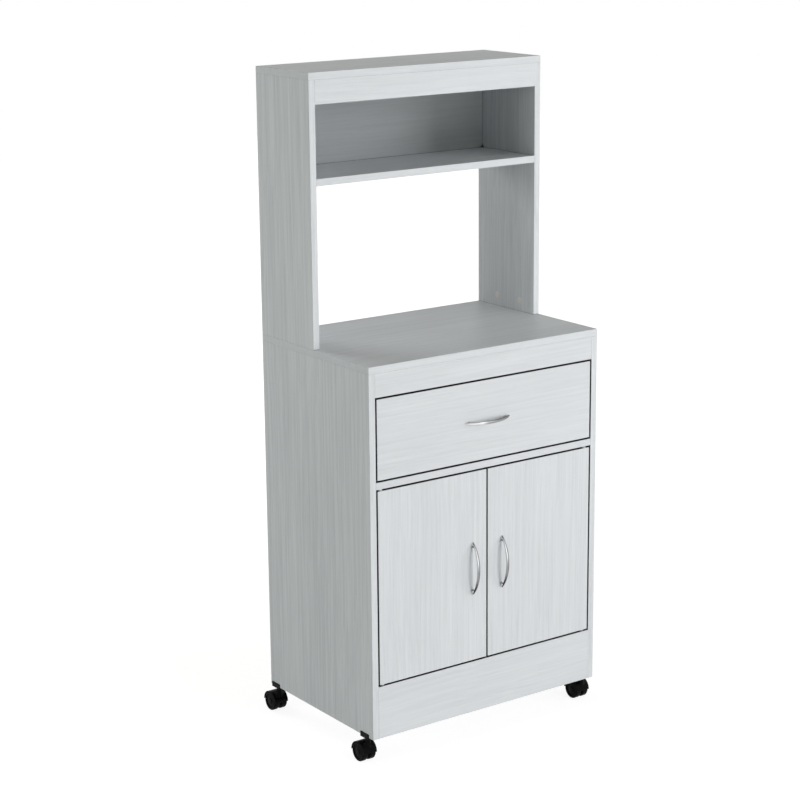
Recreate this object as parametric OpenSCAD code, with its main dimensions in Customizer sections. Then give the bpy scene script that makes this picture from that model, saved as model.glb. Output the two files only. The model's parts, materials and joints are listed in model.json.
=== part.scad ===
// A kitchen stand on four casters: a cupboard with one drawer and two doors,
// and an open hutch on top with a tall lower bay and a small upper bay.
// Millimetres. +Z is up and the fronts face -Y. The origin is on the floor,
// under the middle of the whole stand, handles and trailing wheels included.

/* [Boards] */
// Width of the stand
stand_w = 600; // [520:1:800]
// Depth of the cupboard
base_d = 401; // [395:1:500]
// Height of the cupboard, casters left out
base_h = 801; // [740:1:900]
// Thickness of every laminated board
board = 15; // [15:0.5:18]
// Thickness of the drawer's side and back boards
drawer_board = 12; // [12:0.5:14]
// Thickness of the hardboard back and drawer bottom
hardboard = 3; // [2.5:0.5:4]

/* [Hutch] */
// Depth of the hutch
hutch_d = 201; // [180:1:260]
// Height of the hutch above the cupboard's deck
hutch_h = 571; // [540:1:700]
// Clear height of the lower bay, from the deck to the hutch's shelf
lower_bay_h = 340; // [300:1:360]
// Height of the fascia under the hutch's top
fascia_h = 50; // [45:1:70]

/* [Fronts] */
// Gap round the drawer front and the doors
front_gap = 4; // [3:0.1:4.5]
// Height of the rail above the drawer
rail_h = 50; // [45:1:70]
// Height of the drawer front
drawer_front_h = 170; // [165:1:190]
// Height of the plinth board
plinth_h = 115; // [90:1:140]
// Height of the inner shelf's top above the cupboard floor
inner_shelf_h = 200; // [150:1:230]
// How far the inner shelf's front edge stands back from the cupboard's front
inner_shelf_setback = 46; // [40:1:140]

/* [Drawer box] */
// Space between the drawer box and the hardboard back
drawer_back_gap = 24; // [16:1:45]
// Height of the drawer's sides
drawer_side_h = 100; // [80:1:120]
// Space for a runner beside the drawer
runner_gap = 12.5; // [12.5:0.1:14]
// Length of the drawer box that stays inside when the drawer is open
drawer_stay_in = 90; // [85:1:150]
// Radius of the runner rollers
roller_r = 9; // [7:0.5:9]

/* [Doors] */
// Distance of the pivot axis from the door's outer edge
pivot_inset = 10; // [9:0.5:14]
// Diameter of the steel pivot pins
pivot_pin_d = 5; // [4:0.5:5.5]
// Outer diameter of the pivot bushes
bush_d = 8; // [7.5:0.5:9]

/* [Handles] */
// Length of a bow handle
handle_len = 117; // [108:1:160]
// How far a handle stands out from its front
handle_out = 24; // [20:0.5:32]
// Width of the handle's bar
handle_w = 7; // [6:0.5:10]
// Thickness of the handle's bar at its middle
handle_t = 4; // [3:0.5:6]
// Distance between a handle's two screws
handle_pitch = 96; // [80:1:100]
// Distance of a door handle from the door's free edge
handle_inset = 37; // [25:1:60]
// How far the door handles sit below the doors' middle
handle_drop = 3; // [0:1:40]

/* [Casters] */
// Height of the casters, from the floor to the cupboard sides
caster_h = 60; // [58:1:75]
// Radius of the wheels
wheel_r = 21; // [17:0.5:22]
// Width of one wheel
wheel_w = 14.4; // [11:0.1:16]
// How far the axle trails behind the stem
trail = 15; // [12:0.5:18]
// Distance of the front stems from the front
caster_inset_front = 31; // [25:1:60]
// Distance of the rear stems from the back
caster_inset_back = 21; // [20:1:60]
// Diameter of the caster stem
stem_d = 8; // [6:0.5:8.5]

/* [Hidden] */
$fn = 32;

white = [0.84, 0.86, 0.87];
raw_board = [0.62, 0.55, 0.45];
nickel = [0.75, 0.75, 0.74];
zinc = [0.66, 0.67, 0.69];
black = [0.06, 0.06, 0.06];
nylon = [0.88, 0.88, 0.85];
beech = [0.80, 0.66, 0.46];

// Small values that keep cuts clean and moving pieces free
eps = 0.01;
slip = 0.05;
loose = 0.2;
past = 1;

// Where the cupboard stands: its front plane is put so that the whole stand,
// from the handles to the trailing rear hoods, is centred on the origin
hood_gap = 0.8;
hood_t = 1.5;
hood_r = wheel_r + hood_gap + hood_t;
rear_reach = max(base_d, base_d - caster_inset_back + trail + hood_r);
front_y = (handle_out - rear_reach) / 2;
back_y = front_y + base_d;

half_w = stand_w / 2;
inner_x = half_w - board;
base_z = caster_h;
deck_z = base_z + base_h;
side_top = deck_z - board;
side_mid_x = half_w - board / 2;

// Hardboard back: it stands in a groove of the two sides and the deck
groove = 5;
back_inset = 8;
back_front_y = back_y - back_inset - hardboard;

// Heights of the fronts, from the rail down to the plinth
rail_z = side_top - rail_h;
drawer_z1 = rail_z - front_gap;
drawer_z0 = drawer_z1 - drawer_front_h;
divider_z1 = drawer_z0 - front_gap;
divider_z0 = divider_z1 - board;
door_z1 = divider_z0 - front_gap;
plinth_z1 = base_z + plinth_h;
door_z0 = plinth_z1 + front_gap;
floor_z1 = plinth_z1;
floor_z0 = floor_z1 - board;
shelf_z1 = floor_z1 + inner_shelf_h;
shelf_z0 = shelf_z1 - board;
front_x = inner_x - front_gap;

// Hutch
hutch_y = back_y - hutch_d;
hutch_z1 = deck_z + hutch_h;
hutch_side_top = hutch_z1 - board;
fascia_z = hutch_side_top - fascia_h;
hutch_shelf_z = deck_z + lower_bay_h;
hutch_back_y = back_y - board;

// Cam fittings and dowels that hold the boards together.
// A site is [point on the joint, direction into the board with the cam, face the cam opens on]
cam_d = 15;
cam_deep = 12;
cam_reach = 24;
cam_bolt_d = 5;
cam_bolt_deep = 8;
cam_bolt_head_d = 6.5;
cam_bolt_head_h = 4;
cam_bore_d = 7;
cam_pocket_d = 7.2;
dowel_d = 8;
dowel_len = 30;
dowel_deep = 10;
dowel_step = 24;
down = [0, 0, -1];
up = [0, 0, 1];
rearward = [0, 1, 0];

function end_sites(sx, y, z, face) = [[[sx * inner_x, y, z], [-sx, 0, 0], face]];
function edge_sites(sx, y, z, dir) = [[[sx * side_mid_x, y, z], dir, [-sx, 0, 0]]];
function rows(y_list, z, face, sx) =
    [for (y = y_list) each end_sites(sx, y, z, face)];

cam_margin = 50;
floor_ys = [front_y + board + cam_margin, back_front_y - cam_margin - dowel_step];
deck_ys = [front_y + cam_margin, back_front_y - cam_margin - dowel_step];
hutch_margin = 48;
hutch_ys = [hutch_y + hutch_margin, back_y - hutch_margin - dowel_step];
front_mid_y = front_y + board / 2;
hutch_front_mid_y = hutch_y + board / 2;
half_step = dowel_step / 2;

function floor_sites(sx) = rows(floor_ys, floor_z0 + board / 2, down, sx);
function divider_sites(sx) = rows(floor_ys, divider_z0 + board / 2, down, sx);
function hutch_shelf_sites(sx) = rows(hutch_ys, hutch_shelf_z + board / 2, down, sx);
function rail_sites(sx) = end_sites(sx, front_mid_y, rail_z + rail_h / 2 - half_step, rearward);
function plinth_sites(sx) =
    end_sites(sx, front_mid_y, base_z + (plinth_h - board) / 2 - half_step, rearward);
function fascia_sites(sx) =
    end_sites(sx, hutch_front_mid_y, fascia_z + fascia_h / 2 - half_step, rearward);
function hutch_back_sites(sx) =
    end_sites(sx, hutch_back_y + board / 2, (hutch_shelf_z + hutch_side_top) / 2, rearward);
function deck_sites(sx) = [for (y = deck_ys) each edge_sites(sx, y, side_top, down)];
function hutch_foot_sites(sx) = [for (y = hutch_ys) each edge_sites(sx, y, deck_z, up)];
function hutch_top_sites(sx) = [for (y = hutch_ys) each edge_sites(sx, y, hutch_side_top, down)];
function base_side_sites(sx) =
    concat(floor_sites(sx), divider_sites(sx), rail_sites(sx), plinth_sites(sx), deck_sites(sx));
function hutch_side_sites(sx) = concat(hutch_shelf_sites(sx), fascia_sites(sx),
    hutch_back_sites(sx), hutch_foot_sites(sx), hutch_top_sites(sx));
all_sites = [for (sx = [-1, 1]) each concat(base_side_sites(sx), hutch_side_sites(sx))];

// Drawer
drawer_x = inner_x - runner_gap;
drawer_in_x = drawer_x - drawer_board;
drawer_y0 = front_y + board;
drawer_y1 = back_front_y - drawer_back_gap;
drawer_len = drawer_y1 - drawer_y0;
drawer_travel = drawer_len - drawer_stay_in;
box_lift = 15;
box_z = drawer_z0 + box_lift;
box_top = box_z + drawer_side_h;
bottom_lift = 12;
bottom_z = box_z + bottom_lift;
drawer_groove = 6;
drawer_mid_x = drawer_x - drawer_board / 2;
drawer_cam_d = 12;
drawer_cam_deep = 9;
drawer_cam_drop = 38;
drawer_cam_z = box_top - drawer_cam_drop;
drawer_dowel_drop = 12;
drawer_dowel_z = box_top - drawer_dowel_drop;
drawer_dowel_d = 6;
drawer_dowel_front = 9;
drawer_dowel_len = 26;
back_screw_edge = 18;
back_screw_zs = [bottom_z + hardboard + back_screw_edge, box_top - back_screw_edge];
back_screw_len = 40;
back_screw_y = drawer_y1 - drawer_board / 2;
lip_screw_len = 10;

// Runners. Along x they are measured from the cupboard side inwards
steel_t = 1.2;
channel_drop = 3;
channel_z = box_z - channel_drop;
rear_roller_z = channel_z + roller_r + slip;
rail_gap = 1;
rail_under_z = channel_z + 2 * roller_r + rail_gap;
front_roller_z = rail_under_z - roller_r - slip;
top_flange_gap = 0.8;
top_flange_z = rail_under_z + steel_t + top_flange_gap;
channel_w = 10.2;
rail_start = 3;
drawer_web = runner_gap - steel_t;
drawer_lip_w = 10;
runner_y0 = drawer_y0 + 2;
runner_len = drawer_len;
front_roller_y = runner_y0 + 14;
rear_roller_y = drawer_y1 - 13;
rivet_d = 5;
rivet_head_d = 8;
rivet_head_t = 0.8;
front_roller_x = [2.4, 9.4];
rear_roller_x = [3.6, 10.6];
stop_gap = 0.5;
stop_h = 3;
screw_d = 4;
screw_head_d = 8;
screw_head_t = 0.9;
screw_len = 12;
runner_screw_ys = [runner_y0 + 45, runner_y0 + runner_len / 2, runner_y0 + runner_len - 60];
runner_screw_z = rear_roller_z;
lip_screw_ys = [drawer_y0 + 40, (drawer_y0 + drawer_y1) / 2, drawer_y1 - 50];

// Doors
pivot_x = front_x - pivot_inset;
pivot_y = front_mid_y;
bush_len = 13;
bush_flange_d = 11;
bush_flange_t = 1.3;
pin_in_door = 10;
pin_in_board = 12;
collar_d = 9;
collar_gap = 0.4;
collar_t = front_gap - bush_flange_t - collar_gap;
handle_z = (door_z0 + door_z1) / 2 - handle_drop;
handle_x = front_gap / 2 + handle_inset;
drawer_handle_z = (drawer_z0 + drawer_z1) / 2;
handle_screw_d = 4;
handle_screw_head_d = 8;
handle_screw_head_t = 2.2;
handle_screw_in = 5;

// Magnetic catch under the divider and a strike plate on each door
catch_w = 76;
catch_d = 15;
catch_h = 16;
catch_gap = 0.3;
strike_t = 1;
strike_w = 26;
strike_h = 26;
strike_x = front_gap / 2 + 8;
strike_screw_drop = 20;
strike_top = door_z1 - 1;
catch_y = front_y + board + strike_t + catch_gap;
catch_ear = 14;
catch_ear_t = 4;
catch_screw_x = (catch_w - catch_ear) / 2;
catch_screw_y = catch_y + catch_d / 2;

// Handles: the bar lies between two arcs that meet the ends
handle_tip = 3;
handle_tip_gap = 0.8;
foot_d = handle_w;
half_len = handle_len / 2;
bar_out_rise = handle_out - handle_tip;
bar_in_rise = handle_out - handle_t - handle_tip_gap;
bar_out_r = (half_len ^ 2 + bar_out_rise ^ 2) / (2 * bar_out_rise);
bar_in_r = (half_len ^ 2 + bar_in_rise ^ 2) / (2 * bar_in_rise);
foot_h = handle_out - handle_t - bar_in_r + sqrt(bar_in_r ^ 2 - (handle_pitch / 2) ^ 2) + 1.5;

// Shelf pins and their holes
shelf_pin_d = 5;
shelf_pin_in = 9;
shelf_pin_out = 9;
shelf_hole_step = 32;
shelf_back_gap = 3;
shelf_y0 = front_y + inner_shelf_setback;
shelf_y1 = back_front_y - shelf_back_gap;
shelf_pin_front = 40;
shelf_pin_rear = 60;
shelf_pin_ys = [shelf_y0 + shelf_pin_front, shelf_y1 - shelf_pin_rear];
shelf_pin_z = shelf_z0 - shelf_pin_d / 2;

// Casters
axle_z = wheel_r;
web_t = 4;
wheel_gap = 0.6;
axle_d = 5;
hood_half_w = web_t / 2 + wheel_gap + wheel_w;
wheel_edge = 1;
wheel_round = 3;
wheel_rim = 5;
wheel_dish = 2;
hub_r = 7;
cheek_t = 2;
cheek_h = 7.5;
saddle_len = 30;
saddle_t = 4;
socket_d = 11;
socket_len = 36;
stem_in = 33;
boss_r = 9;
neck_d = 11;
neck_gap = 0.3;
front_stem_y = front_y + caster_inset_front;
rear_stem_y = back_y - caster_inset_back;

// ---------------------------------------------------------------- helpers

// A box given by its lowest and highest corners
module block(low, high) {
    translate(low) cube(high - low);
}

// Turns +Z to a direction
module towards(v) {
    rotate([0, acos(v.z), atan2(v.y, v.x)]) children();
}

// A round bar from a point along a direction
module bar(from, dir, d, len) {
    translate(from) towards(dir) cylinder(d = d, h = len);
}

// Local +x runs from the inner face of a cupboard side towards the middle
module from_side(sx) {
    translate([sx * inner_x, 0, 0]) mirror([sx > 0 ? 1 : 0, 0, 0]) children();
}

function dowel_at(s) = s[0] + dowel_step * [0, abs(cross(s[1], s[2]).y), abs(cross(s[1], s[2]).z)];

// The holes that a cam fitting and its dowel need in both boards
module cam_holes(sites) {
    for (s = sites) {
        bar(s[0] - (cam_bolt_deep + slip) * s[1], s[1], cam_bolt_d + 2 * slip, cam_bolt_deep + past);
        bar(s[0], s[1], cam_bore_d, cam_reach);
        bar(s[0] + cam_reach * s[1] + (board / 2 - cam_deep) * s[2], s[2],
            cam_d + 2 * slip, cam_deep + past);
        bar(dowel_at(s) - (dowel_deep + slip) * s[1], s[1], dowel_d + 2 * slip, dowel_len + 2 * slip);
    }
}

// A screw with its head's underside at a point, driven along a direction
module pan_screw(at, dir, len) {
    bar(at - screw_head_t * dir, dir, screw_d, screw_head_t + len);
    bar(at - screw_head_t * dir, dir, screw_head_d, screw_head_t);
}

// ---------------------------------------------------------------- cupboard boards

module base_side(sx) {
    color(white) difference() {
        from_side(sx)
            block([-board, front_y, base_z], [0, back_y, side_top]);
        from_side(sx)
            block([-groove, back_front_y - loose / 2, floor_z0 - past],
                  [past, back_front_y + hardboard + loose / 2, side_top + past]);
        cam_holes(base_side_sites(sx));
        from_side(sx) {
            for (y = shelf_pin_ys, k = [-1, 0, 1])
                bar([past, y, shelf_pin_z + k * shelf_hole_step], [-1, 0, 0],
                    shelf_pin_d + 2 * slip, shelf_pin_in + past);
            for (y = runner_screw_ys)
                bar([past, y, runner_screw_z], [-1, 0, 0], screw_d + 2 * slip, screw_len + past);
            for (y = [front_stem_y, rear_stem_y])
                bar([-board / 2, y, base_z - past], up, socket_d + 2 * slip, socket_len + 2 * past);
        }
    }
}

module base_left_side() base_side(-1);
module base_right_side() base_side(1);

module base_deck() {
    color(white) difference() {
        block([-half_w, front_y, side_top], [half_w, back_y, deck_z]);
        block([-inner_x - groove, back_front_y - loose / 2, side_top - past],
              [inner_x + groove, back_front_y + hardboard + loose / 2, side_top + groove]);
        for (sx = [-1, 1]) cam_holes(concat(deck_sites(sx), hutch_foot_sites(sx)));
    }
}

module base_floor() {
    color(white) difference() {
        block([-inner_x, front_y + board, floor_z0], [inner_x, back_front_y, floor_z1]);
        for (sx = [-1, 1]) cam_holes(floor_sites(sx));
    }
}

module base_divider() {
    color(white) difference() {
        block([-inner_x, front_y, divider_z0], [inner_x, back_front_y, divider_z1]);
        for (sx = [-1, 1]) cam_holes(divider_sites(sx));
        for (sx = [-1, 1])
            bar([sx * pivot_x, pivot_y, divider_z0 - past], up,
                pivot_pin_d + 2 * slip, pin_in_board + past);
        for (sx = [-1, 1])
            bar([sx * catch_screw_x, catch_screw_y, divider_z0 - past], up,
                screw_d + 2 * slip, screw_len - catch_ear_t + past);
    }
}

module base_top_rail() {
    color(white) difference() {
        block([-inner_x, front_y, rail_z], [inner_x, front_y + board, side_top]);
        for (sx = [-1, 1]) cam_holes(rail_sites(sx));
    }
}

module base_plinth() {
    color(white) difference() {
        block([-inner_x, front_y, base_z], [inner_x, front_y + board, plinth_z1]);
        for (sx = [-1, 1]) cam_holes(plinth_sites(sx));
        for (sx = [-1, 1])
            bar([sx * pivot_x, pivot_y, plinth_z1 + past], down,
                pivot_pin_d + 2 * slip, pin_in_board + past);
    }
}

module base_back() {
    edge = groove - loose;
    color(raw_board)
        block([-inner_x - edge, back_front_y, floor_z0],
              [inner_x + edge, back_front_y + hardboard, side_top + edge]);
}

module inner_shelf() {
    color(white)
        block([-inner_x + loose, shelf_y0, shelf_z0],
              [inner_x - loose, shelf_y1, shelf_z1]);
}

module shelf_pins() {
    color(zinc) for (sx = [-1, 1], y = shelf_pin_ys) from_side(sx)
        bar([-shelf_pin_in, y, shelf_pin_z], [1, 0, 0], shelf_pin_d, shelf_pin_in + shelf_pin_out);
}

// ---------------------------------------------------------------- hutch boards

module hutch_side(sx) {
    color(white) difference() {
        from_side(sx) block([-board, hutch_y, deck_z], [0, back_y, hutch_side_top]);
        cam_holes(hutch_side_sites(sx));
    }
}

module hutch_left_side() hutch_side(-1);
module hutch_right_side() hutch_side(1);

module hutch_top() {
    color(white) difference() {
        block([-half_w, hutch_y, hutch_side_top], [half_w, back_y, hutch_z1]);
        for (sx = [-1, 1]) cam_holes(hutch_top_sites(sx));
    }
}

module hutch_fascia() {
    color(white) difference() {
        block([-inner_x, hutch_y, fascia_z], [inner_x, hutch_y + board, hutch_side_top]);
        for (sx = [-1, 1]) cam_holes(fascia_sites(sx));
    }
}

module hutch_shelf() {
    color(white) difference() {
        block([-inner_x, hutch_y, hutch_shelf_z], [inner_x, back_y, hutch_shelf_z + board]);
        for (sx = [-1, 1]) cam_holes(hutch_shelf_sites(sx));
    }
}

module hutch_back() {
    color(white) difference() {
        block([-inner_x, hutch_back_y, hutch_shelf_z + board], [inner_x, back_y, hutch_side_top]);
        for (sx = [-1, 1]) cam_holes(hutch_back_sites(sx));
    }
}

// ---------------------------------------------------------------- fasteners of the boards

module cam_fittings() {
    color(zinc) for (s = all_sites) {
        centre = s[0] + cam_reach * s[1];
        difference() {
            bar(centre + (board / 2 - cam_deep + slip) * s[2], s[2], cam_d, cam_deep - slip);
            bar(centre + cam_bolt_head_h * s[1], -s[1], cam_pocket_d, cam_d);
        }
        bar(s[0] - cam_bolt_deep * s[1], s[1], cam_bolt_d, cam_bolt_deep + cam_reach);
        bar(centre - cam_bolt_head_h * s[1] / 2, s[1], cam_bolt_head_d, cam_bolt_head_h);
    }
}

module wood_dowels() {
    color(beech) for (s = all_sites)
        bar(dowel_at(s) - dowel_deep * s[1], s[1], dowel_d, dowel_len - slip);
}

// Screws of the runners and the catch
module fitting_screws() {
    color(zinc) {
        for (sx = [-1, 1]) from_side(sx) for (y = runner_screw_ys)
            pan_screw([steel_t, y, runner_screw_z], [-1, 0, 0], screw_len);
        for (sx = [-1, 1])
            pan_screw([sx * catch_screw_x, catch_screw_y, divider_z0 - catch_ear_t], up, screw_len);
    }
}

// ---------------------------------------------------------------- drawer

module drawer_front() {
    color(white) difference() {
        block([-front_x, front_y, drawer_z0], [front_x, front_y + board, drawer_z1]);
        block([-drawer_in_x - drawer_groove, drawer_y0 - drawer_groove, bottom_z],
              [drawer_in_x + drawer_groove, drawer_y0 + past, bottom_z + hardboard + loose]);
        handle_screw_holes(0, drawer_handle_z, false);
        drawer_cam_holes();
    }
}

// Cams hold the drawer's sides to its front, in line with the sides
module drawer_cam_holes() {
    for (sx = [-1, 1]) {
        bar([sx * drawer_mid_x, drawer_y0 - cam_bolt_deep - slip, drawer_cam_z], rearward,
            cam_bolt_d + 2 * slip, cam_bolt_deep + cam_reach);
        bar([sx * (drawer_in_x - past), drawer_y0 + cam_reach, drawer_cam_z], [sx, 0, 0],
            drawer_cam_d + 2 * slip, drawer_cam_deep + past);
        bar([sx * drawer_mid_x, drawer_y0 - drawer_dowel_front - slip, drawer_dowel_z], rearward,
            drawer_dowel_d + 2 * slip, drawer_dowel_len + 2 * slip);
    }
}

// Long screws hold the drawer's back between its sides
module drawer_back_screw_holes() {
    for (sx = [-1, 1], z = back_screw_zs)
        bar([sx * (drawer_x + past), back_screw_y, z], [-sx, 0, 0],
            screw_d + 2 * slip, back_screw_len + past);
}

module drawer_side(sx) {
    color(white) difference() {
        block([min(sx * drawer_in_x, sx * drawer_x), drawer_y0, box_z],
              [max(sx * drawer_in_x, sx * drawer_x), drawer_y1, box_top]);
        block([-drawer_in_x - drawer_groove, drawer_y0 - past, bottom_z],
              [drawer_in_x + drawer_groove, drawer_y1 + past, bottom_z + hardboard + loose]);
        drawer_cam_holes();
        drawer_back_screw_holes();
        for (y = lip_screw_ys)
            bar([sx * drawer_mid_x, y, box_z - past], up, screw_d + 2 * slip, lip_screw_len + past);
    }
}

module drawer_left_side() drawer_side(-1);
module drawer_right_side() drawer_side(1);

module drawer_back() {
    color(white) difference() {
        block([-drawer_in_x, drawer_y1 - drawer_board, bottom_z + hardboard + loose],
              [drawer_in_x, drawer_y1, box_top]);
        drawer_back_screw_holes();
    }
}

module drawer_bottom() {
    edge = drawer_groove - loose;
    color(raw_board)
        block([-drawer_in_x - edge, drawer_y0 - edge, bottom_z],
              [drawer_in_x + edge, drawer_y1, bottom_z + hardboard]);
}

module drawer_fixings() {
    color(zinc) {
        for (sx = [-1, 1]) {
            difference() {
                bar([sx * drawer_in_x, drawer_y0 + cam_reach, drawer_cam_z], [sx, 0, 0],
                    drawer_cam_d, drawer_cam_deep);
                bar([sx * drawer_mid_x, drawer_y0 + cam_reach + cam_bolt_head_h, drawer_cam_z],
                    -rearward, cam_bolt_d + 2 * loose, cam_d);
            }
            bar([sx * drawer_mid_x, drawer_y0 - cam_bolt_deep, drawer_cam_z], rearward,
                cam_bolt_d, cam_bolt_deep + cam_reach);
            bar([sx * drawer_mid_x, drawer_y0 - drawer_dowel_front, drawer_dowel_z], rearward,
                drawer_dowel_d, drawer_dowel_len);
            for (y = lip_screw_ys)
                pan_screw([sx * drawer_mid_x, y, box_z - steel_t], up, lip_screw_len + steel_t - slip);
            for (z = back_screw_zs)
                bar([sx * drawer_x, back_screw_y, z], [-sx, 0, 0], screw_d, back_screw_len);
        }
        handle_screws(0, drawer_handle_z, false);
    }
}

module drawer_handle() bow_handle(0, drawer_handle_z, false);

// ---------------------------------------------------------------- runners

// Travel stop that stands on the channel floor
module stop_tab(y) {
    block([rail_start, y, channel_z - eps], [channel_w, y + steel_t, channel_z + stop_h]);
}

module cabinet_runner(sx) {
    color(zinc) from_side(sx) {
        difference() {
            union() {
                block([0, runner_y0, channel_z - steel_t],
                      [steel_t, runner_y0 + runner_len, top_flange_z + steel_t]);
                for (z = [channel_z - steel_t, top_flange_z])
                    block([0, runner_y0, z], [channel_w, runner_y0 + runner_len, z + steel_t]);
                stop_tab(rear_roller_y - drawer_travel - roller_r - stop_gap - steel_t);
                stop_tab(rear_roller_y + roller_r + stop_gap);
            }
            for (y = runner_screw_ys)
                bar([-past, y, runner_screw_z], [1, 0, 0], screw_d + 2 * loose, 3 * past);
        }
        bar([0, front_roller_y, front_roller_z], [1, 0, 0],
            rivet_d, front_roller_x[1] + slip + rivet_head_t);
        bar([front_roller_x[1] + loose, front_roller_y, front_roller_z], [1, 0, 0],
            rivet_head_d, rivet_head_t);
    }
}

module drawer_runner(sx) {
    color(zinc) from_side(sx) {
        difference() {
            union() {
                block([drawer_web, drawer_y0 + past, box_z - steel_t],
                      [runner_gap, drawer_y1, rail_under_z + steel_t]);
                block([drawer_web, drawer_y0 + past, box_z - steel_t],
                      [runner_gap + drawer_lip_w, drawer_y1, box_z]);
                block([rail_start, drawer_y0 + past, rail_under_z],
                      [runner_gap, drawer_y1, rail_under_z + steel_t]);
            }
            for (y = lip_screw_ys)
                bar([inner_x - drawer_mid_x, y, box_z - past - steel_t], up, screw_d + 2 * loose, 3 * past);
        }
        bar([rear_roller_x[0] - loose, rear_roller_y, rear_roller_z], [1, 0, 0],
            rivet_d, drawer_web - rear_roller_x[0] + loose + eps);
        bar([rear_roller_x[0] - loose - rivet_head_t, rear_roller_y, rear_roller_z], [1, 0, 0],
            rivet_head_d, rivet_head_t);
    }
}

module roller(x_span, y, z) {
    translate([x_span[0], y, z]) rotate([0, 90, 0]) rotate_extrude()
        polygon([[rivet_d / 2 + slip, 0], [roller_r - 1, 0], [roller_r, 1],
                 [roller_r, x_span[1] - x_span[0] - 1], [roller_r - 1, x_span[1] - x_span[0]],
                 [rivet_d / 2 + slip, x_span[1] - x_span[0]]]);
}

module cabinet_runners() for (sx = [-1, 1]) cabinet_runner(sx);
module drawer_runners() for (sx = [-1, 1]) drawer_runner(sx);

module front_rollers() {
    color(nylon) for (sx = [-1, 1]) from_side(sx) roller(front_roller_x, front_roller_y, front_roller_z);
}

module rear_rollers() {
    color(nylon) for (sx = [-1, 1]) from_side(sx) roller(rear_roller_x, rear_roller_y, rear_roller_z);
}

// ---------------------------------------------------------------- doors

function handle_points(x, z, upright) =
    [for (k = [-1, 1]) [x, 0, z] + k * handle_pitch / 2 * (upright ? up : [1, 0, 0])];

module handle_screw_holes(x, z, upright) {
    for (p = handle_points(x, z, upright))
        bar([p.x, front_y - past, p.z], rearward, handle_screw_d + 2 * loose, board + 2 * past);
}

module handle_screws(x, z, upright) {
    for (p = handle_points(x, z, upright)) {
        bar([p.x, front_y - handle_screw_in, p.z], rearward,
            handle_screw_d, board + handle_screw_in + eps);
        bar([p.x, front_y + board, p.z], rearward, handle_screw_head_d, handle_screw_head_t);
    }
}

module bow_handle(x, z, upright) {
    color(nickel) translate([x, front_y, z]) rotate([0, upright ? 90 : 0, 0]) difference() {
        union() {
            rotate([180, 0, 0]) linear_extrude(handle_w, center = true) intersection() {
                difference() {
                    translate([0, handle_out - bar_out_r]) circle(bar_out_r, $fn = 96);
                    translate([0, handle_out - handle_t - bar_in_r]) circle(bar_in_r, $fn = 96);
                }
                translate([-half_len, 0]) square([handle_len, handle_out]);
            }
            for (k = [-1, 1])
                bar([k * handle_pitch / 2, 0, 0], -rearward, foot_d, foot_h);
        }
        for (k = [-1, 1])
            bar([k * handle_pitch / 2, past, 0], -rearward,
                handle_screw_d + 2 * slip, handle_screw_in + loose + past);
    }
}

module door(sx) {
    color(white) difference() {
        block([min(sx * front_gap / 2, sx * front_x), front_y, door_z0],
              [max(sx * front_gap / 2, sx * front_x), front_y + board, door_z1]);
        bar([sx * pivot_x, pivot_y, door_z0 - past], up, bush_d + 2 * slip, bush_len + slip + past);
        bar([sx * pivot_x, pivot_y, door_z1 + past], down, bush_d + 2 * slip, bush_len + slip + past);
        handle_screw_holes(sx * handle_x, handle_z, true);
        bar([sx * (strike_x + strike_w / 2), front_y + board + past, strike_top - strike_screw_drop],
            -rearward, screw_d + 2 * slip, screw_len - strike_t + past);
    }
}

module bush(at, dir) {
    difference() {
        union() {
            bar(at, dir, bush_d, bush_len);
            bar(at - bush_flange_t * dir, dir, bush_flange_d, bush_flange_t);
        }
        bar(at - (bush_flange_t + past) * dir, dir, pivot_pin_d + 2 * slip,
            pin_in_door + loose + bush_flange_t + past);
    }
}

module door_bushes(sx) {
    color(nylon) {
        bush([sx * pivot_x, pivot_y, door_z0], up);
        bush([sx * pivot_x, pivot_y, door_z1], down);
    }
}

module door_fixings(sx) {
    strike_mid = sx * (strike_x + strike_w / 2);
    color(zinc) {
        handle_screws(sx * handle_x, handle_z, true);
        difference() {
            block([strike_mid - strike_w / 2, front_y + board, strike_top - strike_h],
                  [strike_mid + strike_w / 2, front_y + board + strike_t, strike_top]);
            bar([strike_mid, front_y + board - past, strike_top - strike_screw_drop], rearward,
                screw_d + 2 * slip, 3 * past);
        }
        pan_screw([strike_mid, front_y + board + strike_t, strike_top - strike_screw_drop],
                  -rearward, screw_len);
    }
}

module left_door() door(-1);
module right_door() door(1);
module left_door_handle() bow_handle(-handle_x, handle_z, true);
module right_door_handle() bow_handle(handle_x, handle_z, true);
module left_door_bushes() door_bushes(-1);
module right_door_bushes() door_bushes(1);
module left_door_fixings() door_fixings(-1);
module right_door_fixings() door_fixings(1);

module pivot_pin(at, dir) {
    bar(at - pin_in_door * dir - front_gap * dir, dir, pivot_pin_d, pin_in_door + front_gap + pin_in_board);
    bar(at - collar_t * dir, dir, collar_d, collar_t);
}

module door_pivot_pins() {
    color(zinc) for (sx = [-1, 1]) {
        pivot_pin([sx * pivot_x, pivot_y, plinth_z1], down);
        pivot_pin([sx * pivot_x, pivot_y, divider_z0], up);
    }
}

// The catch is a holder with an ear at each end and a magnet for each door
module door_catch() {
    color(nylon) difference() {
        block([-catch_w / 2, catch_y, divider_z0 - catch_h],
              [catch_w / 2, catch_y + catch_d, divider_z0]);
        for (sx = [-1, 1]) {
            translate([sx * catch_screw_x, catch_screw_y, divider_z0 - catch_h])
                cube([catch_ear + eps, catch_d + past, 2 * (catch_h - catch_ear_t)], center = true);
            bar([sx * catch_screw_x, catch_screw_y, divider_z0 - catch_h], up,
                screw_d + 2 * slip, catch_h + past);
        }
    }
}

// ---------------------------------------------------------------- casters

function stem_at(sx, front) = [sx * side_mid_x, front ? front_stem_y : rear_stem_y];

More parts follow.
